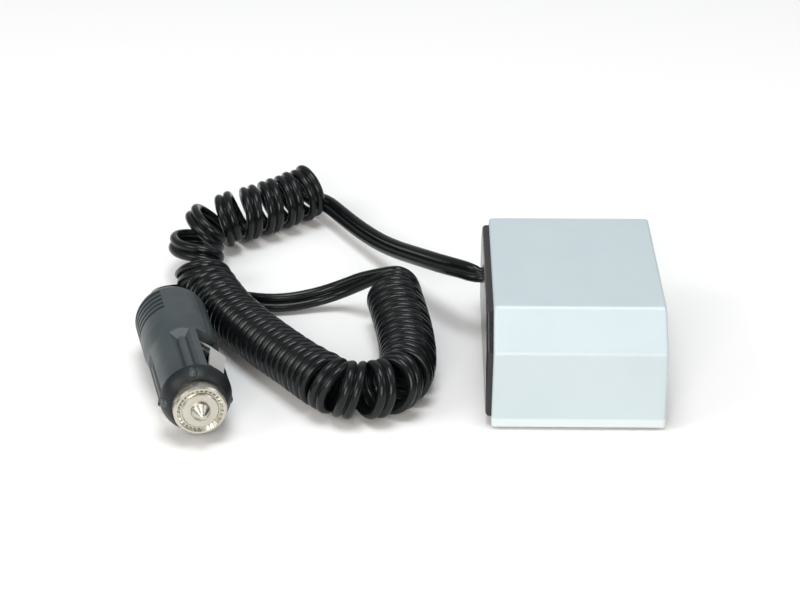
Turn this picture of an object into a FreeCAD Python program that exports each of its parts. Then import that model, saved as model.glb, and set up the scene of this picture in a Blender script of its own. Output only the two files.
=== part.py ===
import FreeCAD, Part
import math
import os

V = FreeCAD.Vector

# Two-way lighter socket splitter: a faceted silver housing with two sockets and a
# USB outlet on its right end, and a curly flat twin lead to a fused lighter plug.
# Millimetres, +Z up, origin under the middle of the housing on the surface that it stands on.
# +X points at the socket end, the cord leaves the -X end, -Y is the front.

# Housing
flange_room = 0.675
side_room = 5.0
end_room = 1.15
fold_drop = 10.0
fold_run = 10.0
wall = 2.0
end_draft = 0.4
cover_lift = 0.8
fold_round = 2.0
end_round = 1.0
fit_gap = 0.15
base_thick = 3.0
base_round = 0.6

# End panels
cap_proud = 1.7
cap_seat = 3.0
cap_round = 1.2
panel_thick = 2.4
panel_recess = 0.85

# Housing screws
screw_shank_d = 2.2
screw_head_d = 4.8
screw_head_thick = 1.5
screw_sink = 0.3
screw_reach = 5.8
screw_gap = 0.1
boss_d = 5.6
boss_height = 7.0
boss_x = 16.5

# Lighter sockets
socket_spacing = 42.0
socket_bore_d = 21.3
sleeve_wall = 0.55
sleeve_length = 30.0
sleeve_setback = 1.2
sleeve_slit = 1.0
sleeve_gap = 0.1
cup_wall = 1.6
cup_depth = 36.0
cup_floor = 2.0
cup_flange_d = 28.0
cup_flange_thick = 1.2
mouth_bevel = 0.6
tab_width = 4.0
tab_thick = 0.3
tab_rise = 0.05
tab_reach = 4.0
contact_head_d = 7.0
contact_head_height = 1.6
contact_shank_d = 3.0
contact_tail = 2.5
strap_thick = 0.8
strap_width = 6.0
strap_overhang = 2.5

# USB outlet and its converter board
board_length = 32.4
board_width = 15.2
board_thick = 1.6
board_top = 14.2
board_post_d = 4.0
usb_width = 13.2
usb_height = 5.8
usb_length = 14.0
usb_sheet = 0.35
usb_gap = 0.3
tongue_width = 11.1
tongue_thick = 1.9
tongue_length = 9.0
contact_strip_width = 1.1
contact_strip_thick = 0.25
contact_strip_pitch = 2.3
led_d = 3.0
led_rise = 8.6
led_length = 5.0
led_leg = 0.5
coil_core_d = 8.0
coil_core_height = 6.0
chip_size = (5.0, 4.0, 1.7)
can_d = 5.0
can_height = 9.0

# Flat twin lead
cord_width = 6.0
cord_thick = 3.0
cord_gap = 0.1
cord_mouth_gap = 0.5
coil_outer_d = 17.0
cord_hole_y = 19.0
cord_hole_z = 19.8
core_d = 1.2

# Lighter plug, along its own axis from the rear end to the tip
plug_rear_x = -121.86
plug_rear_y = 10.5
plug_yaw = -75.49
plug_length = 62.5
grip_d = 22.0
body_d = 20.8
rear_rim_d = 17.6
rear_rim_length = 1.8
rear_shoulder = 3.2
grip_end = 24.0
body_start = 30.0
nose_start = 54.0
nose_length = 4.6
nose_front_d = 16.4
nose_crown = 0.12
plug_wall = 2.2
rear_wall = 3.0
cap_d = 15.3
cap_rim = 1.0
cap_groove_depth = 0.7
cap_disc_d = 10.7
cap_notches = 30
cap_notch_width = 0.5
thread_d = 13.2
nose_gap = 0.1
cap_front_wall = 2.0
pin_d = 5.5
pin_stroke = 3.0
pin_proud = 3.6
pin_gap = 0.05
pin_flange_d = 8.4
pin_flange_thick = 1.4
pin_run_gap = 0.3
fuse_d = 6.35
fuse_length = 30.0
fuse_glass_d = 5.6
fuse_cap_length = 6.0
fuse_gap = 0.33
spring_length = 8.0
spring_d = 5.2
spring_wire = 0.6
spring_turns = 5
rear_contact_thick = 1.0
rear_contact_tail = 6.0

# Plug details, placed round the axis by their angle from straight up
clip_angle = 44.0
flute_offset = 50.0
pad_angle = -57.0
clip_width = 5.6
clip_sheet = 0.5
clip_pivot = 33.5
clip_pivot_r = 6.6
clip_crest = 45.0
clip_crest_r = 12.0
clip_tip = 51.4
clip_tip_r = 9.4
clip_gap = 1.2
peg_d = 1.6
peg_gap = 0.06
slot_floor_r = 4.7
flute_start = 29.5
flute_width = 6.8
flute_depth = 2.3
rib_d = 2.8
rib_rise = 0.7
rib_start = 36.0
rib_reach = 2.6
pad_start = 5.0
pad_end = 18.5
pad_half_angle = 40.0
pad_ribs = 5
pad_rib_width = 1.2
pad_groove = 0.9
seam_line = 0.3

# Places that follow from the sizes above
inner_inset = wall + fit_gap
socket_z = base_thick + flange_room + cup_flange_d / 2
cover_height = socket_z + cup_flange_d / 2 + flange_room + inner_inset
cover_depth = socket_spacing + cup_flange_d + 2 * side_room
cover_length = panel_recess + cup_depth + cup_floor + tab_reach + strap_width / 2 + end_room + cap_seat
fold_height = cover_height - fold_drop
overall_length = cover_length + cap_proud
cover_right = overall_length / 2
cover_left = cover_right - cover_length
panel_face = cover_right - panel_recess
panel_back = panel_face - panel_thick
cap_face = cover_left - cap_proud
cap_back = cover_left + cap_seat
sleeve_d = socket_bore_d + 2 * sleeve_wall
cup_bore_d = sleeve_d + 2 * sleeve_gap
cup_d = cup_bore_d + 2 * cup_wall
cup_back = panel_face - cup_depth
sleeve_front = panel_face - sleeve_setback
sleeve_back = sleeve_front - sleeve_length
tail_end = cup_back - cup_floor - contact_tail
tab_end = cup_back - cup_floor - tab_reach
tab_low = socket_z + socket_bore_d / 2 + tab_rise
tab_top = tab_low + tab_thick
socket_ys = (-socket_spacing / 2, socket_spacing / 2)
plug_axis_z = grip_d / 2
spigot_end = plug_length - cap_front_wall - pin_run_gap
fuse_front = spigot_end - pin_flange_thick - pin_run_gap
fuse_rear = fuse_front - fuse_length
spring_rear = fuse_rear - spring_length


def box(x0, x1, y0, y1, z0, z1):
    return Part.makeBox(x1 - x0, y1 - y0, z1 - z0, V(x0, y0, z0))


def rod(diameter, start, end):
    axis = end - start
    return Part.makeCylinder(diameter / 2, axis.Length, start, axis)


def tube(outer_d, inner_d, start, end):
    return rod(outer_d, start, end).cut(rod(inner_d, start, end))


def turned(profile):
    """Solid of revolution about X from (x, radius) points."""
    points = [V(x, 0, r) for x, r in profile]
    face = Part.Face(Part.makePolygon(points + [points[0]]))
    return face.revolve(V(0, 0, 0), V(1, 0, 0), 360)


def along_x(points, x0, x1):
    """Prism along X from a closed (y, z) outline."""
    corners = [V(x0, y, z) for y, z in points]
    return Part.Face(Part.makePolygon(corners + [corners[0]])).extrude(V(x1 - x0, 0, 0))


def about_axis(shape, angle):
    """Turn a plug feature made at the top round to its angle from straight up."""
    turned_shape = shape.copy()
    turned_shape.rotate(V(0, 0, 0), V(1, 0, 0), -angle)
    return turned_shape


def both_sides(shape, angle):
    return [about_axis(shape, angle), about_axis(shape, angle + 180)]


def save(name, *shapes):
    solids = [solid for shape in shapes for solid in shape.Solids]
    result = solids[0] if len(solids) == 1 else Part.makeCompound(solids)
    result.exportStep("parts/" + name + ".step")


# Housing section

def section(inset, bottom):
    """The housing's faceted (y, z) outline, moved in by an inset all round."""
    half = cover_depth / 2 - inset
    top = cover_height - inset
    rise = cover_height - fold_height
    slant = rise * cover_depth / 2 + fold_run * fold_height - inset * math.hypot(rise, fold_run)
    fold_z = (slant - rise * half) / fold_run
    top_y = (slant - fold_run * top) / rise
    return [(-half, bottom), (-half, fold_z), (-top_y, top), (top_y, top), (half, fold_z), (half, bottom)]


def edges_along_x(shape, lowest):
    found = []
    for edge in shape.Edges:
        start, end = edge.firstVertex().Point, edge.lastVertex().Point
        if abs(end.x - start.x) > 0.9 * cover_length and min(start.z, end.z) > lowest:
            found.append(edge)
    return found


def end_edges(shape, lowest, at_x):
    """Edges of one end face, without the straight one along the bottom."""
    found = []
    for edge in shape.Edges:
        box_of = edge.BoundBox
        if box_of.XLength < 2 * end_draft and abs(box_of.Center.x - at_x) < 2 * end_draft:
            if box_of.ZMax > lowest + wall:
                found.append(edge)
    return found


def screw_places():
    boss_y = cover_depth / 2 - wall - boss_d / 2 + fit_gap
    return [V(x, y, 0) for x in (-boss_x, boss_x) for y in (-boss_y, boss_y)]


def make_top_cover():
    blank = along_x(section(0, cover_lift), cover_left, cover_right)
    ends = Part.makePolygon([
        V(cover_left, 0, 0), V(cover_right, 0, 0), V(cover_right - end_draft, 0, cover_height),
        V(cover_left + end_draft, 0, cover_height), V(cover_left, 0, 0)])
    drafted = Part.Face(ends).extrude(V(0, 2 * cover_depth, 0))
    drafted.translate(V(0, -cover_depth, 0))
    shell = blank.common(drafted).removeSplitter()
    shell = shell.makeFillet(fold_round, edges_along_x(shell, fold_height - wall))
    for at_x in (cover_left, cover_right):
        shell = shell.makeFillet(end_round, end_edges(shell, cover_lift, at_x))
    inside = along_x(section(wall, 0), cover_left - wall, cover_right + wall)
    shell = shell.cut(inside)
    for place in screw_places():
        foot = place + V(0, 0, base_thick)
        head = foot + V(0, 0, boss_height)
        out = math.copysign(wall, place.y)
        web = box(place.x - boss_d / 4, place.x + boss_d / 4, min(place.y, place.y + out),
                  max(place.y, place.y + out), foot.z, head.z)
        boss = rod(boss_d, foot, head).fuse(web)
        shell = shell.fuse(boss).cut(rod(screw_shank_d + 2 * screw_gap, foot, head - V(0, 0, wall / 2)))
    return shell.removeSplitter()


def make_base_plate():
    half = cover_depth / 2 - inner_inset
    plate = box(cover_left + fit_gap, panel_face, -half, half, 0, base_thick)
    low = [e for e in plate.Edges if e.BoundBox.ZMax < base_thick / 2]
    plate = plate.makeFillet(base_round, low)
    saddle_top = socket_z - cup_d / 4
    for y in socket_ys:
        for x in (cup_back + wall, panel_back - 2 * wall - cup_flange_thick):
            saddle = box(x - wall / 2, x + wall / 2, y - cup_d / 3, y + cup_d / 3, base_thick, saddle_top)
            cradle = rod(cup_d + 2 * fit_gap, V(x - wall, y, socket_z), V(x + wall, y, socket_z))
            plate = plate.fuse(saddle.cut(cradle))
    for x in board_post_xs():
        plate = plate.fuse(rod(board_post_d, V(x, 0, base_thick), V(x, 0, board_top - board_thick)))
    for place in screw_places():
        plate = plate.cut(rod(screw_shank_d + 4 * screw_gap, place, place + V(0, 0, base_thick)))
        under = place + V(0, 0, screw_sink + screw_head_thick)
        plate = plate.cut(rod(screw_head_d + 4 * screw_gap, place, under))
    return plate.removeSplitter()


def make_housing_screws():
    screws = []
    for place in screw_places():
        under = place + V(0, 0, screw_sink + screw_head_thick)
        head = rod(screw_head_d, place + V(0, 0, screw_sink), under)
        shank = rod(screw_shank_d, under, under + V(0, 0, base_thick - under.z + screw_reach))
        slot = box(place.x - screw_head_d / 3, place.x + screw_head_d / 3, place.y - screw_gap * 3,
                   place.y + screw_gap * 3, 0, screw_sink + screw_head_thick / 2)
        across = slot.copy()
        across.rotate(place, V(0, 0, 1), 90)
        screws.append(head.fuse(shank).cut(slot).cut(across))
    return screws


def cord_slot(x0, x1, gap):
    """The flat lead's own section, as a prism along X at the cord hole."""
    strand = (cord_width - cord_thick) / 2
    half = cord_thick / 2 + gap
    flat = box(x0, x1, cord_hole_y - strand, cord_hole_y + strand, cord_hole_z - half, cord_hole_z + half)
    for y in (cord_hole_y - strand, cord_hole_y + strand):
        flat = flat.fuse(rod(cord_thick + 2 * gap, V(x0, y, cord_hole_z), V(x1, y, cord_hole_z)))
    return flat.removeSplitter()


def make_cord_end_cap():
    plate = along_x(section(inner_inset, base_thick), cap_face, cap_back)
    outer = [e for e in plate.Edges if e.BoundBox.XMax < cap_face + fit_gap]
    plate = plate.makeFillet(cap_round, outer)
    guide = box(cap_back, cap_back + wall, cord_hole_y - cord_width, cord_hole_y + cord_width,
                cord_hole_z - cord_thick - wall / 2, cord_hole_z + cord_thick + wall / 2)
    plate = plate.fuse(guide).cut(cord_slot(cap_face - wall, cap_back + 2 * wall, cord_gap))
    return plate.cut(cord_slot(cap_face - wall, cap_face + wall, cord_mouth_gap)).removeSplitter()


def make_socket_panel():
    plate = along_x(section(inner_inset, base_thick), panel_back, panel_face)
    for y in socket_ys:
        plate = plate.cut(rod(cup_d + 2 * fit_gap, V(panel_back, y, socket_z), V(panel_face, y, socket_z)))
        seat = V(panel_face - cup_flange_thick, y, socket_z)
        plate = plate.cut(rod(cup_flange_d + 2 * fit_gap, seat, V(panel_face, y, socket_z)))
    usb_z = board_top + usb_height / 2
    plate = plate.cut(box(panel_back, panel_face, -usb_width / 2 - usb_gap, usb_width / 2 + usb_gap,
                          usb_z - usb_height / 2 - usb_gap, usb_z + usb_height / 2 + usb_gap))
    led = V(panel_back, 0, usb_z + led_rise)
    return plate.cut(rod(led_d + 2 * fit_gap, led, led + V(panel_thick, 0, 0)))


# Lighter sockets

def make_socket_cup(y):
    axis = V(0, y, socket_z)
    wall_tube = rod(cup_d, axis + V(cup_back - cup_floor, 0, 0), axis + V(panel_face, 0, 0))
    flange = rod(cup_flange_d, axis + V(panel_face - cup_flange_thick, 0, 0), axis + V(panel_face, 0, 0))
    cup = wall_tube.fuse(flange).cut(rod(cup_bore_d, axis + V(cup_back, 0, 0), axis + V(panel_face, 0, 0)))
    mouth = Part.makeCone(cup_bore_d / 2, cup_bore_d / 2 + mouth_bevel, mouth_bevel,
                          axis + V(panel_face - mouth_bevel, 0, 0), V(1, 0, 0))
    rivet = rod(contact_shank_d + 2 * fit_gap, axis + V(cup_back - cup_floor, 0, 0), axis + V(cup_back, 0, 0))
    slot = box(cup_back - cup_floor, cup_back, y - tab_width / 2 - fit_gap, y + tab_width / 2 + fit_gap,
               tab_low - fit_gap, tab_top + fit_gap)
    return cup.cut(mouth).cut(rivet).cut(slot).removeSplitter()


def make_ground_sleeve(y):
    axis = V(0, y, socket_z)
    sleeve = tube(sleeve_d, socket_bore_d, axis + V(sleeve_back, 0, 0), axis + V(sleeve_front, 0, 0))
    slit = box(sleeve_back, sleeve_front, y - sleeve_slit / 2, y + sleeve_slit / 2,
               socket_z - sleeve_d / 2, socket_z - socket_bore_d / 4)
    tab = box(tab_end, sleeve_back + wall, y - tab_width / 2, y + tab_width / 2, tab_low, tab_top)
    return sleeve.cut(slit).fuse(tab).removeSplitter()


def make_centre_contact(y):
    axis = V(0, y, socket_z)
    head = turned([(0, 0), (0, contact_head_d / 2), (contact_head_height / 2, contact_head_d / 2),
                   (contact_head_height, contact_head_d / 4), (contact_head_height, 0)])
    head.translate(axis + V(cup_back, 0, 0))
    return head.fuse(rod(contact_shank_d, axis + V(tail_end, 0, 0), axis + V(cup_back, 0, 0)))


def make_live_strap():
    half = socket_spacing / 2 + strap_overhang
    return box(tail_end - strap_thick, tail_end, -half, half,
               socket_z - strap_width / 2, socket_z + strap_width / 2)


def make_ground_strap():
    half = socket_spacing / 2 + strap_overhang
    return box(tab_end - strap_width / 2, tab_end + tab_reach - fit_gap, -half, half,
               tab_top, tab_top + strap_thick)


# USB outlet and its converter board

def board_post_xs():
    front = panel_back - fit_gap - board_post_d
    return (front, front - board_length + 2 * board_post_d)


def make_circuit_board():
    front = panel_back - fit_gap
    half = board_width / 2
    return box(front - board_length, front, -half, half, board_top - board_thick, board_top)


def usb_back():
    return panel_face - usb_sheet - usb_length


def make_usb_shell():
    half = usb_width / 2
    can = box(usb_back(), panel_face - usb_sheet, -half, half, board_top, board_top + usb_height)
    corners = [e for e in can.Edges if e.BoundBox.XLength > usb_length / 2]
    can = can.makeFillet(2 * usb_sheet, corners)
    half = half - usb_sheet
    return can.cut(box(usb_back() + usb_sheet, panel_face, -half, half,
                       board_top + usb_sheet, board_top + usb_height - usb_sheet))


def tongue_low():
    return board_top + usb_height / 2


def make_usb_tongue():
    back = usb_back() + usb_sheet
    block = box(back, panel_face - usb_sheet - tongue_length - wall / 2, -usb_width / 2 + usb_sheet,
                usb_width / 2 - usb_sheet, board_top + usb_sheet, board_top + usb_height - usb_sheet)
    tongue = box(back, panel_face - usb_sheet - wall / 2, -tongue_width / 2, tongue_width / 2,
                 tongue_low(), tongue_low() + tongue_thick)
    return block.fuse(tongue).removeSplitter()


def make_usb_contacts():
    front = panel_face - usb_sheet - wall
    strips = []
    for index in range(4):
        y = (index - 1.5) * contact_strip_pitch
        strips.append(box(front - tongue_length + 2 * wall, front, y - contact_strip_width / 2,
                          y + contact_strip_width / 2, tongue_low() - contact_strip_thick, tongue_low()))
    return strips


def make_power_led():
    z = board_top + usb_height / 2 + led_rise
    front = panel_face - usb_sheet
    foot = V(front - led_length, 0, z)
    dome = V(front - led_d / 2, 0, z)
    lens = rod(led_d, foot, dome).fuse(Part.makeSphere(led_d / 2, dome))
    lens = lens.fuse(rod(led_d + 4 * usb_sheet, foot, foot + V(led_d / 2 - usb_sheet, 0, 0)))
    for side in (-1, 1):
        y = side * led_d / 4
        back = front - led_length - led_leg
        lens = lens.fuse(box(back - led_leg, front - led_length, y - led_leg / 2, y + led_leg / 2,
                             z - led_leg / 2, z + led_leg / 2))
        lens = lens.fuse(box(back - led_leg, back, y - led_leg / 2, y + led_leg / 2,
                             board_top + usb_height, z + led_leg / 2))
    return lens.removeSplitter()


def make_inductor():
    x = panel_back - fit_gap - board_length + coil_core_d / 2 + wall / 2
    flange = coil_core_height / 6
    base = V(x, 0, board_top)
    top = base + V(0, 0, coil_core_height)
    core = rod(coil_core_d, base, base + V(0, 0, flange)).fuse(rod(coil_core_d, top - V(0, 0, flange), top))
    return core.fuse(rod(coil_core_d - 2 * flange, base, top))


def make_converter_chip():
    length, width, thick = chip_size
    x = usb_back() - wall / 2 - length
    y = board_width / 2 - width - wall / 2
    return box(x, x + length, y, y + width, board_top, board_top + thick)


def make_capacitor(place):
    x = usb_back() - wall / 2 - can_d / 2 - place * (can_d + wall / 4)
    y = -board_width / 2 + can_d / 2 + wall / 4
    can = rod(can_d, V(x, y, board_top), V(x, y, board_top + can_height))
    rim = [e for e in can.Edges if e.BoundBox.ZMin > board_top + can_height / 2]
    return can.makeFillet(usb_sheet, rim)


# Flat twin lead, its curly stretch and its two cores

def route_wire(points):
    """Straight runs joined by tangent arcs, each as large as its two runs allow."""
    edges = []
    start = points[0]
    radii = []
    for before, corner, after in zip(points, points[1:], points[2:]):
        back = (before - corner).normalize()
        ahead = (after - corner).normalize()
        turn = math.pi - back.getAngle(ahead)
        leg = 0.45 * min((before - corner).Length, (after - corner).Length)
        radius = leg / math.tan(turn / 2)
        middle = (back + ahead).normalize()
        centre = corner + middle * (radius / math.cos(turn / 2))
        entry = corner + back * leg
        leave = corner + ahead * leg
        edges.append(Part.LineSegment(start, entry).toShape())
        edges.append(Part.Arc(entry, centre - middle * radius, leave).toShape())
        radii.append(round(radius, 1))
        start = leave
    edges.append(Part.LineSegment(start, points[-1]).toShape())
    return Part.Wire(edges), radii


def flat_profile(start, heading):
    """Section of the flat twin lead, square to its heading and lying flat."""
    level = heading.cross(V(0, 0, 1)).normalize()
    up = level.cross(heading).normalize()
    side = level * ((cord_width - cord_thick) / 2)
    rise = up * (cord_thick / 2)
    bulge = level * (cord_width / 2)
    edges = [Part.LineSegment(start - side + rise, start + side + rise).toShape(),
             Part.Arc(start + side + rise, start + bulge, start + side - rise).toShape(),
             Part.LineSegment(start + side - rise, start - side - rise).toShape(),
             Part.Arc(start - side - rise, start - bulge, start - side + rise).toShape()]
    return Part.Wire(edges)


def make_flat_lead(name, points):
    path, radii = route_wire(points)
    sweep = Part.BRepOffsetAPI.MakePipeShell(path)
    sweep.setBiNormalMode(V(0, 0, 1))
    sweep.add(flat_profile(points[0], points[1] - points[0]))
    sweep.build()
    sweep.makeSolid()
    lead = sweep.shape()
    section_area = (cord_width - cord_thick) * cord_thick + math.pi * cord_thick ** 2 / 4
    print(name, "radii", radii, "length", round(path.Length, 1), "volume share",
          round(lead.Volume / (section_area * path.Length), 4), "valid", lead.isValid())
    return lead


lead_points = [
    V(cap_back + wall, cord_hole_y, cord_hole_z), V(cap_face - 1.5, cord_hole_y, cord_hole_z),
    V(-33.5, 23.8, 19.5), V(-40, 31, 18.8), V(-47.6, 39.8, 17.0), V(-58.5, 57, 13.6), V(-66.5, 74, 10.8),
    V(-75.5, 90, 9.6), V(-82.5, 101, 9.4)]

coil_points = [
    V(-80, 107, 8.6), V(-99, 92.5, 8.6), V(-114, 80.5, 8.6), V(-119.5, 68, 8.8), V(-118.2, 56, 10.4),
    V(-115.2, 46.5, 12.2), V(-111.6, 34.5, 12.2), V(-104.2, 20.5, 10), V(-93.2, 0, 8.6), V(-82.2, -15.5, 8.6),
    V(-71.5, -26.5, 8.6), V(-62.5, -32.4, 8.6), V(-53, -33, 8.6), V(-46.3, -26.5, 8.6), V(-45.8, -16, 8.6),
    V(-48.4, 0, 8.6), V(-51.8, 15, 8.6), V(-53.6, 31.8, 8.6)]

plug_heading = V(math.cos(math.radians(plug_yaw)), math.sin(math.radians(plug_yaw)), 0)
plug_rear = V(plug_rear_x, plug_rear_y, plug_axis_z)
tail_points = [
    V(-52.4, 29.6, 12.8), V(-56.2, 34.6, 13), V(-61.5, 37.6, 10.6), V(-68.2, 40.4, 5.4), V(-76, 38.6, 2.2),
    V(-86.4, 34.6, 1.65), V(-95.3, 34, 1.6), V(-104.5, 37.5, 1.6), V(-112.5, 42, 1.65), V(-120.5, 42.8, 2.3),
    V(-126.5, 38, 4.2), V(-127.6, 29, 7.4), plug_rear - plug_heading * 8.5, plug_rear + plug_heading * 2]


def make_cord_coil():
    path, radii = route_wire(coil_points)
    ring = Part.Wire(Part.Circle(coil_points[0], coil_points[1] - coil_points[0], coil_outer_d / 2).toShape())
    coil = path.makePipeShell([ring], True, False)
    section_area = math.pi * coil_outer_d ** 2 / 4
    print("coil radii", radii, "length", round(path.Length, 1), "volume share",
          round(coil.Volume / (section_area * path.Length), 4), "valid", coil.isValid())
    return coil


def make_cores():
    inner_end = cap_back + wall
    strand = (cord_width - cord_thick) / 2
    live = rod(core_d, V(inner_end, cord_hole_y - strand, cord_hole_z),
               V(tail_end - strap_thick, cord_hole_y - strand, cord_hole_z))
    up_x = tab_end - strap_width / 4
    corner = V(up_x, cord_hole_y + strand, cord_hole_z)
    ground = rod(core_d, V(inner_end, cord_hole_y + strand, cord_hole_z), corner)
    ground = ground.fuse(rod(core_d, corner, V(up_x, cord_hole_y + strand, tab_top)))
    ground = ground.fuse(Part.makeSphere(core_d / 2, corner)).removeSplitter()
    return live, ground


# Lighter plug, built along X from its rear end and then laid in place

def lay_plug(shape):
    laid = shape.copy()
    laid.rotate(V(0, 0, 0), V(0, 0, 1), plug_yaw)
    laid.translate(plug_rear)
    return laid


def plug_outline(inset):
    grip, body, rim = grip_d / 2 - inset, body_d / 2 - inset, rear_rim_d / 2 - inset
    return turned([(0, 0), (0, rim - rear_rim_length / 3), (rear_rim_length / 3, rim), (rear_rim_length, rim),
                   (rear_rim_length, rim - rear_rim_length / 4), (rear_rim_length + seam_line, rim),
                   (rear_rim_length + rear_shoulder / 3, grip - rear_shoulder / 4),
                   (rear_rim_length + rear_shoulder, grip), (grip_end, grip), (body_start, body),
                   (nose_start, body), (nose_start, 0)])


def clip_slot():
    half = clip_width / 2 + clip_gap
    rear = clip_pivot - peg_d - 2 * clip_sheet
    return box(rear, nose_start, -half, half, slot_floor_r, grip_d)


def clip_peg():
    reach = clip_width / 2 + 2 * clip_gap
    return rod(peg_d, V(clip_pivot, -reach, clip_pivot_r), V(clip_pivot, reach, clip_pivot_r))


def grip_pad():
    """Grooves between transverse ribs, in a patch on one side of the grip."""
    pitch = (pad_end - pad_start - pad_rib_width) / pad_ribs
    grooves = []
    for index in range(pad_ribs):
        x0 = pad_start + pad_rib_width / 2 + index * pitch
        outer = turned([(x0, grip_d / 2 - pad_groove), (x0, grip_d), (x0 + pitch - pad_rib_width / 2, grip_d),
                        (x0 + pitch - pad_rib_width, grip_d / 2 - pad_groove)])
        grooves.append(outer)
    reach = grip_d * 2
    spread = math.radians(pad_half_angle)
    wedge = along_x([(0, 0), (-reach * math.tan(spread), reach), (reach * math.tan(spread), reach)],
                    0, pad_end + pitch)
    return Part.makeCompound([groove.common(wedge) for groove in grooves])


def all_flutes(shape):
    """A recess or rib on each side of both side clips."""
    return both_sides(shape, clip_angle - flute_offset) + both_sides(shape, clip_angle + flute_offset)


def flute():
    """A valley that starts at a sloping facet and runs level to the nose."""
    half = flute_width / 2
    floor = body_d / 2 - flute_depth
    side = [V(flute_start, -grip_d, grip_d / 2), V(rib_start, -grip_d, floor), V(nose_start, -grip_d, floor),
            V(nose_start, -grip_d, grip_d), V(flute_start, -grip_d, grip_d)]
    ramp = Part.Face(Part.makePolygon(side + [side[0]])).extrude(V(0, 2 * grip_d, 0))
    valley = along_x([(0, floor), (-half, body_d / 2), (-half, grip_d), (half, grip_d), (half, body_d / 2)],
                     flute_start, nose_start)
    return ramp.common(valley)


def flute_rib(gap):
    """The round-ended rib that stands in the recess and runs on over the nose."""
    z = body_d / 2 - flute_depth + rib_rise
    start = V(rib_start, 0, z)
    end = V(nose_start + rib_reach, 0, z)
    rib = rod(rib_d + 2 * gap, start, end)
    for tip in (start, end):
        rib = rib.fuse(Part.makeSphere(rib_d / 2 + gap, tip))
    return rib


def nose_blank():
    front = nose_start + nose_length
    edge = V(nose_start, 0, body_d / 2)
    brow = V(nose_start + 0.55 * nose_length, 0, 0.6 * body_d / 2 + 0.4 * nose_front_d / 2)
    brim = V(front, 0, nose_front_d / 2)
    curve = Part.Arc(edge, brow + V(0, 0, nose_crown), brim).toShape()
    back = Part.makePolygon([brim, V(front, 0, 0), V(nose_start, 0, 0), edge])
    face = Part.Face(Part.Wire([curve] + back.Edges))
    return face.revolve(V(0, 0, 0), V(1, 0, 0), 360)


def make_plug_body():
    body = plug_outline(0)
    for pad in both_sides(grip_pad(), pad_angle):
        body = body.cut(pad)
    for pocket in all_flutes(flute()):
        body = body.cut(pocket)
    for rib in all_flutes(flute_rib(0)):
        body = body.fuse(rib)
    body = body.fuse(rod(thread_d, V(nose_start - wall, 0, 0), V(spigot_end, 0, 0)))
    cavity = rod(fuse_d + 2 * fuse_gap, V(spring_rear - rear_contact_thick, 0, 0), V(spigot_end, 0, 0))
    cavity = cavity.fuse(rod(pin_flange_d + 2 * pin_run_gap, V(fuse_front - pin_stroke - pin_run_gap, 0, 0),
                             V(spigot_end, 0, 0)))
    rear_room = rear_rim_d - 2 * plug_wall
    cavity = cavity.fuse(rod(rear_room, V(rear_wall, 0, 0), V(spring_rear - rear_contact_thick - wall, 0, 0)))
    cavity = cavity.fuse(rod(fuse_d / 2, V(rear_wall, 0, 0), V(spring_rear, 0, 0)))
    body = body.cut(cavity)
    for slot in both_sides(clip_slot(), clip_angle):
        body = body.cut(slot)
    for peg in both_sides(clip_peg(), clip_angle):
        body = body.fuse(peg)
    half = (cord_width - cord_thick) / 2
    hole = box(-wall, rear_wall, -half, half, -cord_thick / 2 - cord_gap, cord_thick / 2 + cord_gap)
    for side in (-half, half):
        hole = hole.fuse(rod(cord_thick + 2 * cord_gap, V(-wall, side, 0), V(rear_wall, side, 0)))
    groove = box(rear_rim_length, nose_start, -seam_line / 2, seam_line / 2, -grip_d, grip_d)
    groove = about_axis(groove, clip_angle).cut(plug_outline(seam_line))
    return body.cut(hole).cut(groove).removeSplitter()


def make_plug_shells():
    body = make_plug_body()
    side = box(-wall, plug_length, -grip_d, 0, -grip_d, grip_d)
    upper = body.common(about_axis(side, clip_angle))
    lower = body.common(about_axis(side, clip_angle + 180))
    return upper, lower


def make_nose_ring():
    ring = nose_blank().cut(rod(thread_d + 2 * nose_gap, V(nose_start, 0, 0), V(plug_length, 0, 0)))
    for notch in all_flutes(flute_rib(nose_gap)):
        ring = ring.cut(notch)
    return ring.removeSplitter()


def make_screw_cap():
    rear = nose_start + nose_length
    inner = thread_d / 2 + nose_gap
    floor = plug_length - cap_groove_depth
    cap = turned([(rear, inner), (rear, cap_d / 2), (plug_length - cap_rim / 2, cap_d / 2),
                  (plug_length, cap_d / 2 - cap_rim / 2), (plug_length, cap_d / 2 - cap_rim),
                  (floor, cap_disc_d / 2 + usb_sheet), (floor, cap_disc_d / 2),
                  (plug_length - usb_sheet, cap_disc_d / 2), (plug_length, cap_disc_d / 2 - usb_sheet),
                  (plug_length, pin_d / 2 + pin_gap), (plug_length - cap_front_wall, pin_d / 2 + pin_gap),
                  (plug_length - cap_front_wall, inner)])
    notch = box(floor, plug_length + wall, -cap_notch_width / 2, cap_notch_width / 2,
                cap_disc_d / 2 + usb_sheet, cap_d / 2 - cap_rim)
    for index in range(cap_notches):
        cap = cap.cut(about_axis(notch, index * 360 / cap_notches))
    return cap


def make_tip_pin():
    back = fuse_front
    shoulder = back + pin_flange_thick
    end = plug_length + pin_proud
    r = pin_d / 2
    return turned([(back, 0), (back, pin_flange_d / 2), (shoulder, pin_flange_d / 2), (shoulder, r),
                   (end - 0.8 * pin_proud, r), (end - 0.7 * pin_proud, 0.95 * r),
                   (end - 0.25 * pin_proud, 0.5 * r), (end - 0.06 * pin_proud, 0.32 * r),
                   (end, 0.15 * r), (end, 0)])


def make_fuse_glass():
    return rod(fuse_glass_d, V(fuse_rear + fuse_cap_length, 0, 0), V(fuse_front - fuse_cap_length, 0, 0))


def make_fuse_end_caps():
    ends = (fuse_rear, fuse_front - fuse_cap_length)
    return [rod(fuse_d, V(x, 0, 0), V(x + fuse_cap_length, 0, 0)) for x in ends]


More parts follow.
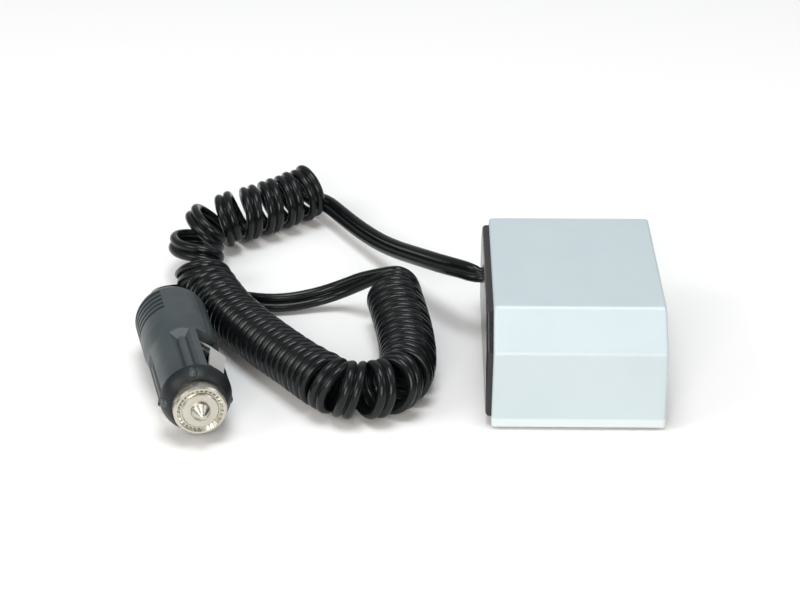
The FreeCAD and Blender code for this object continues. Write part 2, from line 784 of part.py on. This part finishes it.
def make_fuse_spring():
    """Coil spring with both ends ground flat."""
    pitch = (spring_length - spring_wire) / spring_turns
    helix = Part.makeHelix(pitch, spring_length - spring_wire, (spring_d - spring_wire) / 2)
    start = V((spring_d - spring_wire) / 2, 0, 0)
    ring = Part.Wire(Part.Circle(start, V(0, 1, 0), spring_wire / 2).toShape())
    coil = Part.Wire(helix.Edges).makePipeShell([ring], True, True)
    coil.rotate(V(0, 0, 0), V(0, 1, 0), 90)
    coil.translate(V(spring_rear + spring_wire / 2, 0, 0))
    return coil


def make_rear_contact():
    front = V(spring_rear, 0, 0)
    back = front - V(rear_contact_thick, 0, 0)
    return rod(fuse_d, back, front).fuse(rod(fuse_d / 3, back - V(rear_contact_tail, 0, 0), front))


def make_side_clip():
    """Bent leaf that hooks round its peg, rises to a crest and dips in at the front."""
    eye_in = peg_d / 2 + peg_gap
    eye_out = eye_in + clip_sheet
    half = clip_width / 2
    eye = tube(2 * eye_out, 2 * eye_in, V(clip_pivot, -half, clip_pivot_r), V(clip_pivot, half, clip_pivot_r))
    line = [(clip_pivot, clip_pivot_r + eye_out), (clip_crest, clip_crest_r), (clip_tip, clip_tip_r)]
    outer = [V(x, -half, r) for x, r in line]
    inner = [V(x, -half, r - clip_sheet) for x, r in reversed(line)]
    leaf = Part.Face(Part.makePolygon(outer + inner + [outer[0]])).extrude(V(0, clip_width, 0))
    mouth = box(clip_pivot - 2 * eye_out, clip_pivot, -clip_width, clip_width, 0, clip_pivot_r - eye_in / 2)
    peg_room = rod(2 * eye_in, V(clip_pivot, -half, clip_pivot_r), V(clip_pivot, half, clip_pivot_r))
    return eye.cut(mouth).fuse(leaf.cut(peg_room)).removeSplitter()


os.makedirs("parts", exist_ok=True)

save("top_cover", make_top_cover())
save("base_plate", make_base_plate())
save("housing_screws", *make_housing_screws())
save("cord_end_cap", make_cord_end_cap())
save("socket_panel", make_socket_panel())
for side_name, socket_y in zip(("front", "back"), socket_ys):
    save("socket_cup_" + side_name, make_socket_cup(socket_y))
    save("ground_sleeve_" + side_name, make_ground_sleeve(socket_y))
    save("centre_contact_" + side_name, make_centre_contact(socket_y))
save("live_strap", make_live_strap())
save("ground_strap", make_ground_strap())
save("circuit_board", make_circuit_board())
save("usb_shell", make_usb_shell())
save("usb_tongue", make_usb_tongue())
save("usb_contacts", *make_usb_contacts())
save("power_led", make_power_led())
save("inductor", make_inductor())
save("converter_chip", make_converter_chip())
save("input_capacitor", make_capacitor(0))
save("output_capacitor", make_capacitor(1))

live_core, ground_core = make_cores()
save("live_core", live_core)
save("ground_core", ground_core)
save("cord_lead", make_flat_lead("lead", lead_points))
save("cord_coil", make_cord_coil())
save("cord_tail", make_flat_lead("tail", tail_points))

upper_shell, lower_shell = make_plug_shells()
save("plug_shell_upper", lay_plug(upper_shell))
save("plug_shell_lower", lay_plug(lower_shell))
save("nose_ring", lay_plug(make_nose_ring()))
save("screw_cap", lay_plug(make_screw_cap()))
save("tip_pin", lay_plug(make_tip_pin()))
save("fuse_glass", lay_plug(make_fuse_glass()))
save("fuse_end_caps", *[lay_plug(end_cap) for end_cap in make_fuse_end_caps()])
save("fuse_spring", lay_plug(make_fuse_spring()))
save("rear_contact", lay_plug(make_rear_contact()))
for clip_name, clip_side in zip(("upper", "lower"), both_sides(make_side_clip(), clip_angle)):
    save("side_clip_" + clip_name, lay_plug(clip_side))
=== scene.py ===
import math

import bpy
import numpy as np
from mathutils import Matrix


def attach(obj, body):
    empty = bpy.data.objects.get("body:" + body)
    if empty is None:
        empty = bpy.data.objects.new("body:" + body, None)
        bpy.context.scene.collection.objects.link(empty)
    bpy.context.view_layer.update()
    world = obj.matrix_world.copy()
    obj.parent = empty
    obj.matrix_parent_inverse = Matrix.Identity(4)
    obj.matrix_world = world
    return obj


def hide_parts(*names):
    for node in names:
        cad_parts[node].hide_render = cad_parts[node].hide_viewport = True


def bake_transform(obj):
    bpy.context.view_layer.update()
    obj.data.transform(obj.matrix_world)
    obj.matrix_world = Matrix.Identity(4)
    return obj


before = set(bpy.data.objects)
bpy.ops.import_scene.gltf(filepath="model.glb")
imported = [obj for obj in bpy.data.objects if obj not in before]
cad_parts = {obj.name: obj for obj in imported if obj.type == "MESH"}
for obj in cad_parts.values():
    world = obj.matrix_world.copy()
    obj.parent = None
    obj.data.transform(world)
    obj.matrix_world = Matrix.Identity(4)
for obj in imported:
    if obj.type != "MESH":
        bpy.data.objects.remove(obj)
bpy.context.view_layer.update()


# View: a standing photographer's view of the set laid on a white table, a little from above,
# with a long lens, so that the edges of the housing stay nearly parallel.
lens_mm = 94.5
film_width_mm = 36.0
view_place = (-0.04324, -0.56079, 0.30675)
view_tilt = math.radians(63.0)
view_turn = math.radians(0.778)

view_data = bpy.data.cameras.new("view")
view_data.lens = lens_mm
view_data.sensor_width = film_width_mm
view_data.sensor_fit = "HORIZONTAL"
view = bpy.data.objects.new("view", view_data)
bpy.context.scene.collection.objects.link(view)
view.location = view_place
view.rotation_euler = (view_tilt, 0.0, view_turn)
bpy.context.scene.camera = view


# Fuse spring: a coil of zinc-plated steel wire, ground flat at both ends. It stands on the rear
# contact inside the plug, pushes the fuse and the centre pin forward, and shortens as the pin
# is pressed in.
plug_rear = np.array((-0.12186, 0.0105, 0.011))
plug_yaw = math.radians(-75.49)

tone_scale = 60.0
tone_detail = 4.0
gloss_scale = 170.0
gloss_detail = 6.0
grain_detail = 3.0
plain_specular = 0.5


def new_finish(name, colour, roughness, metallic=0.0, specular=plain_specular):
    """A finish with one plain shader, ready for its grain and wear."""
    made = bpy.data.materials.new(name)
    made.use_nodes = True
    shader = made.node_tree.nodes["Principled BSDF"]
    shader.inputs["Base Color"].default_value = (*colour, 1.0)
    shader.inputs["Roughness"].default_value = roughness
    shader.inputs["Metallic"].default_value = metallic
    shader.inputs["Specular IOR Level"].default_value = specular
    return made


def add_noise(finish, scale, detail, stretch=(1.0, 1.0, 1.0)):
    """Fine irregularity in the piece's own coordinates, drawn out along an axis by its stretch."""
    nodes = finish.node_tree.nodes
    links = finish.node_tree.links
    place = nodes.new("ShaderNodeTexCoord")
    drawn = nodes.new("ShaderNodeMapping")
    drawn.inputs["Scale"].default_value = stretch
    noise = nodes.new("ShaderNodeTexNoise")
    noise.inputs["Scale"].default_value = scale
    noise.inputs["Detail"].default_value = detail
    links.new(place.outputs["Object"], drawn.inputs["Vector"])
    links.new(drawn.outputs["Vector"], noise.inputs["Vector"])
    return noise.outputs["Fac"]


def spread(finish, source, low, high, from_low=0.3, from_high=0.7):
    """Bring a noise or a height to the span of values that a socket needs."""
    span = finish.node_tree.nodes.new("ShaderNodeMapRange")
    span.inputs["From Min"].default_value = from_low
    span.inputs["From Max"].default_value = from_high
    span.inputs["To Min"].default_value = low
    span.inputs["To Max"].default_value = high
    finish.node_tree.links.new(source, span.inputs["Value"])
    return span.outputs["Result"]


def add_relief(finish, source, depth):
    """Raise the surface a little where the source is high."""
    bump = finish.node_tree.nodes.new("ShaderNodeBump")
    bump.inputs["Strength"].default_value = 1.0
    bump.inputs["Distance"].default_value = depth
    shader = finish.node_tree.nodes["Principled BSDF"]
    finish.node_tree.links.new(source, bump.inputs["Height"])
    finish.node_tree.links.new(bump.outputs["Normal"], shader.inputs["Normal"])


def toned(name, colour, worn, rough, metallic=0.0, specular=plain_specular):
    """A smooth finish with a slow drift of tone and a cloudy gloss."""
    made = new_finish(name, colour, rough[0], metallic, specular)
    nodes = made.node_tree.nodes
    links = made.node_tree.links
    shader = nodes["Principled BSDF"]
    drift = spread(made, add_noise(made, tone_scale, tone_detail), 0.0, 1.0)
    blend = nodes.new("ShaderNodeMix")
    blend.data_type = "RGBA"
    blend.inputs["A"].default_value = (*colour, 1.0)
    blend.inputs["B"].default_value = (*worn, 1.0)
    links.new(drift, blend.inputs["Factor"])
    links.new(blend.outputs["Result"], shader.inputs["Base Color"])
    cloud = spread(made, add_noise(made, gloss_scale, gloss_detail), rough[0], rough[1])
    links.new(cloud, shader.inputs["Roughness"])
    return made


def moulded(name, colour, worn, rough, grain, depth, metallic=0.0, specular=plain_specular):
    """A toned finish with a fine even grain, as moulded, painted or plated."""
    made = toned(name, colour, worn, rough, metallic, specular)
    add_relief(made, add_noise(made, grain, grain_detail), depth)
    return made


zinc_steel = moulded("zinc_steel", colour=(0.50, 0.50, 0.49), worn=(0.58, 0.57, 0.53),
                     rough=(0.26, 0.42), grain=900.0, depth=0.00002, metallic=1.0)
return_spring = bpy.data.objects.new("return_spring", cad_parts["fuse_spring"].data.copy())
bpy.context.scene.collection.objects.link(return_spring)
return_spring.data.materials.clear()
return_spring.data.materials.append(zinc_steel)
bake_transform(return_spring)
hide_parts("fuse_spring")


# Curly lead: a flat twin flex in soft glossy black PVC, extruded as two round cores side by side,
# wound on a mandrel and baked so that it springs back into its curl. It comes out of the housing's
# end cap, turns once round its loop and runs back under itself into the rear of the plug.
flex_width = 0.0060
flex_thick = 0.0030
points_per_turn = 16
axis_fineness = 24
flex_fineness = 3
facing_offset = 0.002
core_points = 13
core_arc = 162.0
smooth_angle = math.radians(45.0)

lead_route = [
    (-0.01915, 0.0190, 0.0198), (-0.0262, 0.0190, 0.0198), (-0.0286, 0.0203, 0.0200),
    (-0.0314, 0.0228, 0.0200), (-0.0386, 0.0322, 0.0175), (-0.0452, 0.0434, 0.0144),
    (-0.0518, 0.0562, 0.0104), (-0.0585, 0.0685, 0.0075), (-0.0655, 0.0803, 0.0066),
    (-0.0722, 0.0920, 0.0066), (-0.0770, 0.1008, 0.0067), (-0.0822, 0.1098, 0.0044)]
curl_route = [
    (-0.0815, 0.1062, 0.0101), (-0.0910, 0.0966, 0.0098), (-0.1032, 0.0862, 0.0096),
    (-0.1137, 0.0790, 0.0097), (-0.1192, 0.0665, 0.0103), (-0.1174, 0.0494, 0.0098),
    (-0.1145, 0.0380, 0.0104), (-0.1107, 0.0294, 0.0098), (-0.1032, 0.0147, 0.0083),
    (-0.0930, -0.0010, 0.0082), (-0.0825, -0.0150, 0.0082), (-0.0740, -0.0260, 0.0084),
    (-0.0675, -0.0332, 0.0088), (-0.0595, -0.0336, 0.0088), (-0.0530, -0.0310, 0.0088),
    (-0.0490, -0.0245, 0.0088), (-0.0481, -0.0140, 0.0088), (-0.0492, 0.0010, 0.0088),
    (-0.0511, 0.0140, 0.0090), (-0.0534, 0.0280, 0.0092)]
tail_route = [
    (-0.0582, 0.0303, 0.0140), (-0.0640, 0.0330, 0.0106), (-0.0695, 0.0350, 0.0071),
    (-0.0770, 0.0346, 0.0044), (-0.0864, 0.0322, 0.0034), (-0.0953, 0.0320, 0.0033),
    (-0.1045, 0.0370, 0.0027), (-0.1125, 0.0415, 0.0020), (-0.1205, 0.0428, 0.0023),
    (-0.1265, 0.0380, 0.0042), (-0.1276, 0.0290, 0.0074), (-0.12399, 0.01873, 0.0110),
    (-0.12136, 0.00856, 0.0110)]

# Which way the flat side of the flex looks at each point of the lead and of the tail.
lead_facing = [
    (0.0, 0.0, -1.0), (0.0, 0.0, -1.0), (0.28, 0.32, -0.91), (0.45, 0.48, -0.75),
    (0.60, 0.60, -0.53), (0.60, 0.60, -0.53), (0.60, 0.60, -0.53), (0.75, 0.34, -0.56),
    (0.75, 0.34, -0.56), (0.75, 0.34, -0.56), (0.75, 0.34, -0.56), (0.75, 0.34, -0.56)]
tail_facing = [
    (0.0, -0.3, 0.95), (0.0, -0.7, 0.71), (0.0, -0.85, 0.53), (0.0, -0.88, 0.47),
    (0.0, -0.85, 0.53), (0.0, -0.7, 0.71), (0.0, -0.35, 0.94), (0.0, 0.0, 1.0),
    (0.0, 0.0, 1.0), (0.0, 0.0, 1.0), (0.0, 0.0, 1.0), (0.0, 0.0, 1.0), (0.0, 0.0, 1.0)]

# How the curl lies, turn by turn: millimetres along its axis, then radius, and degrees of lean and swing.
turn_marks = [0, 0.389, 1.389, 2.389, 3.389, 4.389, 5.389, 6.389, 7.389, 19.389, 20.389,
              21.389, 22.389, 22.889, 23.389, 24.389, 32.389]
run_marks = [0, 3.6, 12.0, 20.2, 28.4, 37.6, 48.0, 66.5, 92.0, 159.0, 165.0,
             171.6, 176.8, 182.3, 184.6, 192.0, 249.6]
radius_run = [0, 4, 10, 40, 66, 90, 150, 162, 190, 205, 252]
radius_at = [8.2, 8.1, 7.9, 7.8, 7.6, 6.9, 6.7, 7.2, 7.2, 7.2, 7.6]
lean_run = [0, 4, 12, 22, 30, 36, 47, 64, 82, 95, 110, 155, 163, 172, 182, 195, 252]
lean_at = [18, 18, 12, 8, 8, 15, 45, 72, 30, 12, 0, 0, 3, 9, 4, 0, 0]
swing_run = [0, 8, 16, 30, 36, 47, 64, 82, 95, 163, 171, 179, 195, 252]
swing_at = [-2, -9, -14, -14, -14, -32, -30, 0, 0, 0, 12, 8, 0, 0]
start_angle = math.radians(-50.0)


def smooth_line(name, points, fineness):
    """Points read from an open NURBS line that has these as its control points."""
    data = bpy.data.curves.new(name, "CURVE")
    data.dimensions = "3D"
    spline = data.splines.new("NURBS")
    spline.points.add(len(points) - 1)
    for place, point in zip(spline.points, points):
        place.co = (point[0], point[1], point[2], 1.0)
    spline.order_u = 3
    spline.use_endpoint_u = True
    spline.resolution_u = fineness
    line = bpy.data.objects.new(name, data)
    traced = bpy.data.meshes.new_from_object(line)
    found = np.array([corner.co[:] for corner in traced.vertices])
    bpy.data.meshes.remove(traced)
    bpy.data.objects.remove(line)
    bpy.data.curves.remove(data)
    return found


def unit(rows):
    """Each row at a length of one."""
    return rows / np.linalg.norm(rows, axis=-1, keepdims=True)


def run_along(points):
    """How far along a line each of its points lies."""
    steps = np.linalg.norm(np.diff(points, axis=0), axis=1)
    return np.concatenate([[0.0], np.cumsum(steps)])


curl_axis = smooth_line("curl_axis", curl_route, axis_fineness)
axis_run = run_along(curl_axis)
axis_heading = unit(np.gradient(curl_axis, axis_run, axis=0))
curl_length = axis_run[-1]

turns = []
turn_facing = []
for step in range(1, round(turn_marks[-1] * points_per_turn) + 1):
    turn = min(step / points_per_turn, turn_marks[-1])
    angle = start_angle + 2 * math.pi * turn
    run = np.interp(turn, turn_marks, run_marks) * curl_length / run_marks[-1]
    run_mm = run * 1000
    radius = np.interp(run_mm, radius_run, radius_at) / 1000
    lean = math.radians(np.interp(run_mm, lean_run, lean_at))
    swing = math.radians(np.interp(run_mm, swing_run, swing_at))
    centre = np.array([np.interp(run, axis_run, curl_axis[:, i]) for i in range(3)])
    ahead = unit(np.array([np.interp(run, axis_run, axis_heading[:, i]) for i in range(2)]))
    heading = np.array((ahead[0] * math.cos(swing) - ahead[1] * math.sin(swing),
                        ahead[0] * math.sin(swing) + ahead[1] * math.cos(swing), 0.0))
    level = np.cross(heading, (0, 0, 1))
    upright = np.array((0, 0, 1)) * math.cos(lean) + heading * math.sin(lean)
    outward = math.cos(angle) * level + math.sin(angle) * upright
    turns.append(tuple(centre + radius * outward))
    turn_facing.append(tuple(outward))

flex_points = np.array(lead_route + turns + tail_route)
flex_facing = np.array(lead_facing + turn_facing + tail_facing)
flex_line = smooth_line("flex_line", flex_points, flex_fineness)
facing_line = smooth_line("facing_line", flex_points + facing_offset * flex_facing, flex_fineness)
along = unit(np.gradient(flex_line, axis=0))
facing = facing_line - flex_line
facing = unit(facing - along * np.sum(facing * along, axis=1, keepdims=True))
across = np.cross(along, facing)

core_radius = flex_thick / 2
core_offset = flex_width / 2 - core_radius
core_step = 2 * core_arc / (core_points - 1)
outline = []
for middle, turned in ((core_offset, 0.0), (-core_offset, 180.0)):
    for step in range(core_points):
        sweep = math.radians(turned - core_arc + core_step * step)
        outline.append((middle + core_radius * math.cos(sweep), core_radius * math.sin(sweep)))
outline = np.array(outline)
corners = (flex_line[:, None, :] + across[:, None, :] * outline[None, :, 0:1]
           + facing[:, None, :] * outline[None, :, 1:2])
rings, sides = corners.shape[:2]
skin = []
for ring in range(rings - 1):
    here = ring * sides
    there = here + sides
    for side in range(sides):
        after = (side + 1) % sides
        skin.append((here + side, here + after, there + after, there + side))
skin.append(tuple(reversed(range(sides))))
skin.append(tuple((rings - 1) * sides + side for side in range(sides)))
lead_mesh = bpy.data.meshes.new("curly_lead")
lead_mesh.from_pydata([tuple(c) for c in corners.reshape(-1, 3)], [], skin)
lead_mesh.update()
curly_lead = bpy.data.objects.new("curly_lead", lead_mesh)
bpy.context.scene.collection.objects.link(curly_lead)
bpy.ops.object.select_all(action="DESELECT")
bpy.context.view_layer.objects.active = curly_lead
curly_lead.select_set(True)
bpy.ops.object.mode_set(mode="EDIT")
bpy.ops.mesh.select_all(action="SELECT")
bpy.ops.mesh.normals_make_consistent(inside=False)
bpy.ops.object.mode_set(mode="OBJECT")
bpy.ops.object.shade_smooth_by_angle(angle=smooth_angle)
bpy.ops.object.select_all(action="DESELECT")

pvc_black = moulded("pvc_black", colour=(0.0042, 0.0056, 0.0062), worn=(0.0070, 0.0086, 0.0092),
                    rough=(0.17, 0.28), grain=2600.0, depth=0.00002, specular=0.27)
curly_lead.data.materials.append(pvc_black)

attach(curly_lead, "splitter")
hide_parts("cord_lead", "cord_coil", "cord_tail")


# Housing cover: one thin shell moulded in grey plastic and sprayed with satin silver lacquer,
# folded over the sockets in five flats with softly rounded edges between them. A paler band is
# painted along its lower edge: a painted highlight of the table's light caught on that edge.
# Painted highlight: below this height the cover's colour turns paler, standing for the table's light on its
# lower edge.
highlight_lip_top = 0.0032
highlight_lip_fade = 0.0004
lip_highlight_colour = (0.68, 0.74, 0.76)


def dress(finish, *names):
    """Give these CAD pieces one finish."""
    for name in names:
        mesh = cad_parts[name].data
        mesh.materials.clear()
        mesh.materials.append(finish)


silver_lacquer = moulded("silver_lacquer", colour=(0.535, 0.615, 0.645), worn=(0.555, 0.635, 0.665),
                         rough=(0.40, 0.48), grain=5200.0, depth=0.000012, metallic=0.12)
lacquer_nodes = silver_lacquer.node_tree.nodes
lacquer_links = silver_lacquer.node_tree.links
lacquer_colour = lacquer_nodes["Principled BSDF"].inputs["Base Color"]
lacquer_place = lacquer_nodes.new("ShaderNodeTexCoord")
lacquer_height = lacquer_nodes.new("ShaderNodeSeparateXYZ")
lacquer_links.new(lacquer_place.outputs["Object"], lacquer_height.inputs["Vector"])
# Painted highlight: blend the lacquer's colour to the paler highlight colour below the lip height.
on_lip_highlight = spread(silver_lacquer, lacquer_height.outputs["Z"], 1.0, 0.0, highlight_lip_top, highlight_lip_top + highlight_lip_fade)
lip_highlight_blend = lacquer_nodes.new("ShaderNodeMix")
lip_highlight_blend.data_type = "RGBA"
lip_highlight_blend.inputs["B"].default_value = (*lip_highlight_colour, 1.0)
lacquer_links.new(on_lip_highlight, lip_highlight_blend.inputs["Factor"])
lacquer_links.new(lacquer_colour.links[0].from_socket, lip_highlight_blend.inputs["A"])
lacquer_links.new(lip_highlight_blend.outputs["Result"], lacquer_colour)
dress(silver_lacquer, "top_cover")


# End cap, base and socket end: black moulded plates let into the two ends and the bottom of the cover,
# held by four screws from below. The end cap is smooth and the others have a fine spark-eroded grain.
grained_black = moulded("grained_black", colour=(0.012, 0.0125, 0.0135), worn=(0.02, 0.0205, 0.022),
                        rough=(0.42, 0.58), grain=2300.0, depth=0.00006)
dress(grained_black, "base_plate", "socket_panel", "socket_cup_front", "socket_cup_back")
polished_black = moulded("polished_black", colour=(0.010, 0.011, 0.012), worn=(0.014, 0.015, 0.016),
                         rough=(0.20, 0.28), grain=2300.0, depth=0.00001)
dress(polished_black, "cord_end_cap")
dress(zinc_steel, "housing_screws")


# Lighter sockets: rolled nickel-plated sleeves in black cups, each with a riveted brass contact
# in its floor, joined inside the housing by pressed brass straps.
bright_nickel = moulded("bright_nickel", colour=(0.72, 0.70, 0.655), worn=(0.66, 0.64, 0.60),
                        rough=(0.14, 0.26), grain=700.0, depth=0.00001, metallic=1.0)
dress(bright_nickel, "ground_sleeve_front", "ground_sleeve_back", "usb_shell", "fuse_end_caps")
pressed_brass = moulded("pressed_brass", colour=(0.70, 0.52, 0.23), worn=(0.58, 0.41, 0.17),
                        rough=(0.22, 0.40), grain=800.0, depth=0.00002, metallic=1.0)
dress(pressed_brass, "centre_contact_front", "centre_contact_back", "live_strap", "ground_strap",
      "rear_contact", "usb_contacts")


# Plug: two satin dark grey half shells closed on a seam, a separate darker nose ring, two sprung nickel
# side clips, and a turned nickel cap that screws off to reach the fuse behind the sprung centre pin.
tool_line_scale = 1100.0
tool_line_wobble = 1.5
tool_line_depth = 0.000006
brush_scale = 2600.0
brush_detail = 4.0
brush_stretch = (1.0, 0.04, 1.0)
brush_depth = 0.00002

satin_grey = moulded("satin_grey", colour=(0.034, 0.045, 0.050), worn=(0.048, 0.061, 0.066),
                     rough=(0.34, 0.46), grain=2400.0, depth=0.00003)
dress(satin_grey, "plug_shell_upper", "plug_shell_lower")
nose_black = moulded("nose_black", colour=(0.0075, 0.0100, 0.0112), worn=(0.0120, 0.0148, 0.0160),
                     rough=(0.34, 0.46), grain=2400.0, depth=0.00003, specular=0.35)
dress(nose_black, "nose_ring")

turned_nickel = toned("turned_nickel", colour=(0.60, 0.58, 0.505), worn=(0.53, 0.51, 0.44),
                      rough=(0.22, 0.36), metallic=1.0)
turned_nodes = turned_nickel.node_tree.nodes
turned_links = turned_nickel.node_tree.links
turned_place = turned_nodes.new("ShaderNodeTexCoord")
lathe = turned_nodes.new("ShaderNodeMapping")
lathe.inputs["Rotation"].default_value = (0.0, 0.0, -plug_yaw)
lathe.inputs["Location"].default_value = (
    -(plug_rear[0] * math.cos(plug_yaw) + plug_rear[1] * math.sin(plug_yaw)),
    plug_rear[0] * math.sin(plug_yaw) - plug_rear[1] * math.cos(plug_yaw),
    -plug_rear[2])
tool_lines = turned_nodes.new("ShaderNodeTexWave")
tool_lines.wave_type = "RINGS"
tool_lines.rings_direction = "X"
tool_lines.inputs["Scale"].default_value = tool_line_scale
tool_lines.inputs["Distortion"].default_value = tool_line_wobble
turned_links.new(turned_place.outputs["Object"], lathe.inputs["Vector"])
turned_links.new(lathe.outputs["Vector"], tool_lines.inputs["Vector"])
add_relief(turned_nickel, tool_lines.outputs["Fac"], tool_line_depth)
dress(turned_nickel, "screw_cap", "tip_pin")

sprung_nickel = toned("sprung_nickel", colour=(0.94, 0.95, 0.91), worn=(0.88, 0.89, 0.86),
                      rough=(0.30, 0.44), metallic=0.8)
add_relief(sprung_nickel, add_noise(sprung_nickel, brush_scale, brush_detail, brush_stretch), brush_depth)
dress(sprung_nickel, "side_clip_upper", "side_clip_lower")


# Converter for the USB outlet: a small green board with a chip, a wound choke, two capacitors and
# a red lamp, and beside it the lead's bare copper cores. The plug's glass fuse is dressed here too.
glass_clearness = 0.9

board_green = moulded("board_green", colour=(0.012, 0.105, 0.045), worn=(0.018, 0.135, 0.06),
                      rough=(0.28, 0.40), grain=1500.0, depth=0.00003)
dress(board_green, "circuit_board")
chip_black = moulded("chip_black", colour=(0.016, 0.016, 0.017), worn=(0.022, 0.022, 0.023),
                     rough=(0.45, 0.60), grain=3000.0, depth=0.00003)
dress(chip_black, "converter_chip", "usb_tongue")
ferrite = moulded("ferrite", colour=(0.04, 0.04, 0.042), worn=(0.06, 0.06, 0.062),
                  rough=(0.50, 0.70), grain=2500.0, depth=0.00006)
dress(ferrite, "inductor")
drawn_can = moulded("drawn_can", colour=(0.58, 0.58, 0.60), worn=(0.50, 0.50, 0.52),
                    rough=(0.22, 0.35), grain=900.0, depth=0.00002, metallic=1.0)
dress(drawn_can, "input_capacitor", "output_capacitor")
bare_copper = moulded("bare_copper", colour=(0.70, 0.33, 0.18), worn=(0.55, 0.24, 0.12),
                      rough=(0.25, 0.42), grain=1200.0, depth=0.00005, metallic=1.0)
dress(bare_copper, "live_core", "ground_core")
red_lens = moulded("red_lens", colour=(0.42, 0.012, 0.012), worn=(0.36, 0.01, 0.01),
                   rough=(0.08, 0.16), grain=800.0, depth=0.00001)
dress(red_lens, "power_led")
clear_glass = moulded("clear_glass", colour=(0.86, 0.90, 0.90), worn=(0.82, 0.87, 0.87),
                      rough=(0.03, 0.08), grain=600.0, depth=0.000005)
clear_glass.node_tree.nodes["Principled BSDF"].inputs["Transmission Weight"].default_value = glass_clearness
dress(clear_glass, "fuse_glass")


# Table and light: a white sheet under five soft boxes, a low one in front, one overhead, a weaker one
# on each side and a wide faint one behind, in an even white room, as for a catalogue picture.
floor_size = 6.0
floor_drop = 0.0002
paper_colour = (0.975, 0.965, 0.955)
paper_roughness = 0.9
room_strength = 0.3
white = (1.0, 1.0, 1.0)
soft_boxes = [
    {"name": "front_box", "place": (-0.25, -1.25, 0.50), "aim": (-0.03, 0.0, 0.02),
     "size": 0.6, "power": 9.5, "colour": (1.0, 0.96, 0.89)},
    {"name": "back_box", "place": (-0.05, 1.60, 0.85), "aim": (-0.05, 0.0, 0.02),
     "size": 1.6, "power": 1.6, "colour": white},
    {"name": "left_box", "place": (-0.90, -0.35, 0.70), "aim": (-0.08, 0.0, 0.02),
     "size": 0.5, "power": 3.0, "colour": white},
    {"name": "right_box", "place": (0.75, -0.15, 0.65), "aim": (-0.08, 0.0, 0.02),
     "size": 0.5, "power": 1.3, "colour": white},
    {"name": "top_box", "place": (-0.05, -0.02, 1.30), "aim": (-0.03, 0.0, 0.0),
     "size": 0.6, "power": 8.8, "colour": (0.95, 1.0, 1.03)}]

bpy.ops.mesh.primitive_plane_add(size=floor_size, location=(0.0, 0.0, -floor_drop))
floor = bpy.context.object
floor.name = "floor"
floor.data.materials.append(new_finish("paper", paper_colour, paper_roughness))

for box in soft_boxes:
    lamp = bpy.data.lights.new(box["name"], "AREA")
    lamp.shape = "SQUARE"
    lamp.size = box["size"]
    lamp.energy = box["power"]
    lamp.color = box["colour"]
    light = bpy.data.objects.new(box["name"], lamp)
    bpy.context.scene.collection.objects.link(light)
    light.location = box["place"]
    aim_line = np.array(box["aim"]) - np.array(box["place"])
    tilt = math.atan2(math.hypot(aim_line[0], aim_line[1]), -aim_line[2])
    bearing = math.atan2(aim_line[0], -aim_line[1]) + math.pi
    light.rotation_euler = (tilt, 0.0, bearing)

room = bpy.data.worlds.new("room")
room.use_nodes = True
room.node_tree.nodes["Background"].inputs["Color"].default_value = (*white, 1.0)
room.node_tree.nodes["Background"].inputs["Strength"].default_value = room_strength
bpy.context.scene.world = room
bpy.context.scene.view_settings.view_transform = "Standard"
